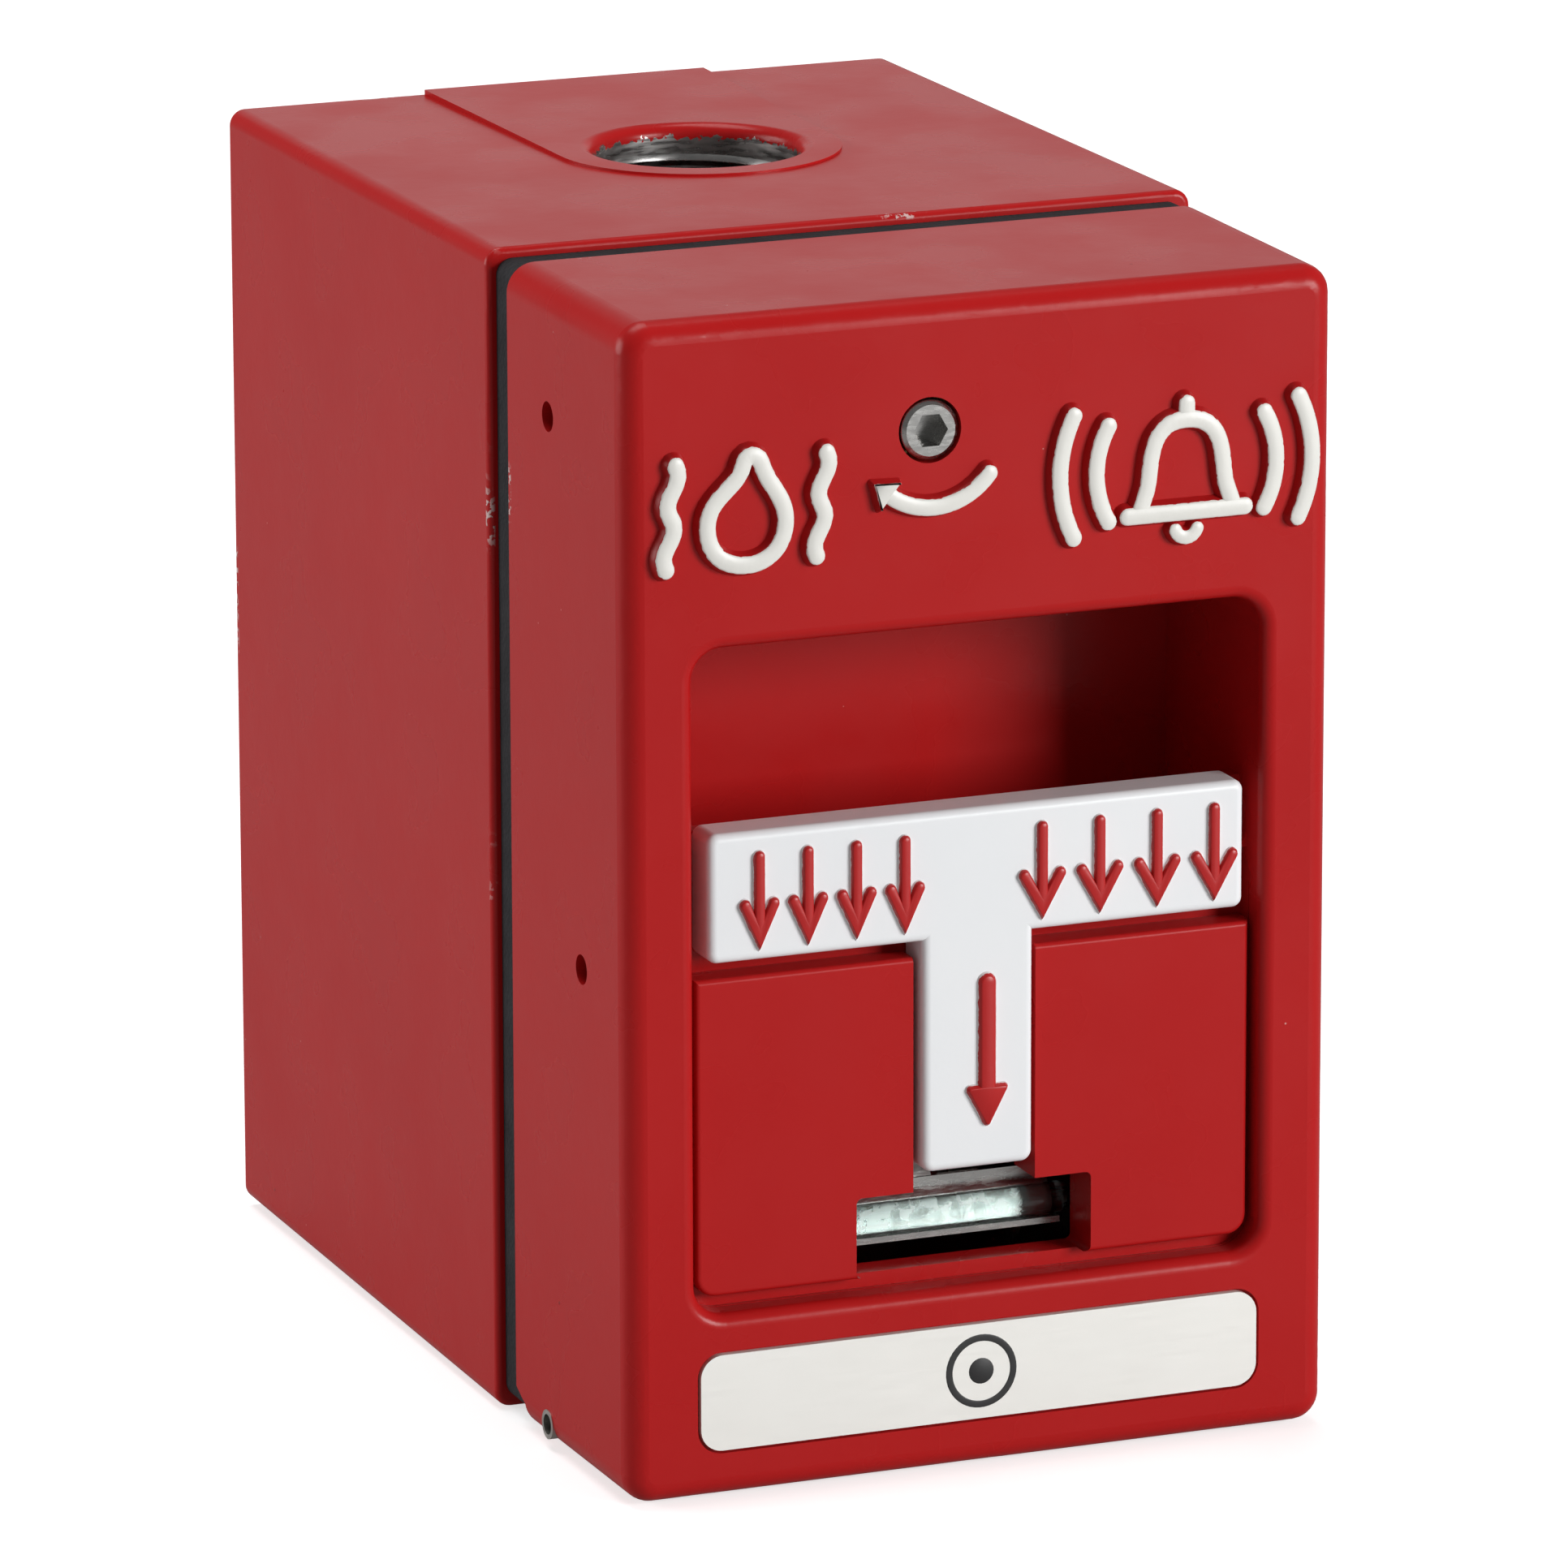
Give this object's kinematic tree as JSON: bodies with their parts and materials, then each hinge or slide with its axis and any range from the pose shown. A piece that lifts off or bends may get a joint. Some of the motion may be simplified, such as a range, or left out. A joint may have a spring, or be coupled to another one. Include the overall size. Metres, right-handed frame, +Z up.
{
  "type": "manual call point",
  "caption": "Wall-mounted pull-down fire alarm call point with a deep back box, a conduit entry on top, a bottom-hinged key-locked cover and a break-rod lever.",
  "frame": {"origin": "centre of the back box's back face, where it meets the wall", "axes": "+Z up, +Y into the wall, so the front with the lever faces -Y; +X to the right seen from the front"},
  "size_m": [0.0726, 0.1092, 0.1147],
  "materials": {
    "box_paint": "semi-gloss red powder coat",
    "cover_paint": "semi-gloss red powder coat",
    "lever_paint": "white enamel",
    "seal_foam": "closed-cell foam",
    "plated_steel": "zinc plated",
    "bright_steel": "polished stainless",
    "plate_aluminium": "brushed",
    "brass": "turned",
    "black_plastic": "moulded",
    "red_plastic": "moulded",
    "rod_glass": "fire polished",
    "earth_green": "green dyed"
  },
  "bodies": {
    "base": {"back_box": "box_paint", "box_gasket": "seal_foam", "inner_plate": "plated_steel", "plate_screws": "plated_steel", "switch_case": "black_plastic", "switch_screws": "plated_steel", "switch_tabs": "brass", "terminal_block": "black_plastic", "terminal_screws": "brass", "earth_screw": "earth_green"},
    "cover": {"cover": "cover_paint", "nameplate": "plate_aluminium", "hinge_pins": "plated_steel", "rod_clip": "bright_steel", "clip_screws": "plated_steel", "break_rod": "rod_glass", "pivot_pin": "bright_steel", "pivot_washers": "brass", "lock_bush": "brass"},
    "lever": {"lever": "lever_paint", "striker": "plated_steel"},
    "lock": {"lock_screw": "bright_steel", "lock_washer": "plated_steel", "lock_pawl": "plated_steel", "lock_nut": "plated_steel"},
    "plunger": {"switch_plunger": "red_plastic"}
  },
  "joints": [
    {"name": "cover_hinge", "type": "hinge", "parent": "base", "child": "cover", "pos_m": [0, -0.0877, -0.055], "axis": [1, 0, 0], "range_deg": [0, 95]},
    {"name": "lever_pivot", "type": "hinge", "parent": "cover", "child": "lever", "pos_m": [0, -0.099, -0.0245], "axis": [1, 0, 0], "range_deg": [0, 40]},
    {"name": "lock_turn", "type": "hinge", "parent": "cover", "child": "lock", "pos_m": [-0.0053, -0.104, 0.0444], "axis": [0, 1, 0], "range_deg": [-90, 0]},
    {"name": "plunger_slide", "type": "slide", "parent": "base", "child": "plunger", "axis": [0, 1, 0], "range_m": [0, 0.005]}
  ],
  "couplings": [
    {"joint": "plunger_slide", "follows": "lever_pivot", "m_per_rad": 0.0070187}
  ]
}
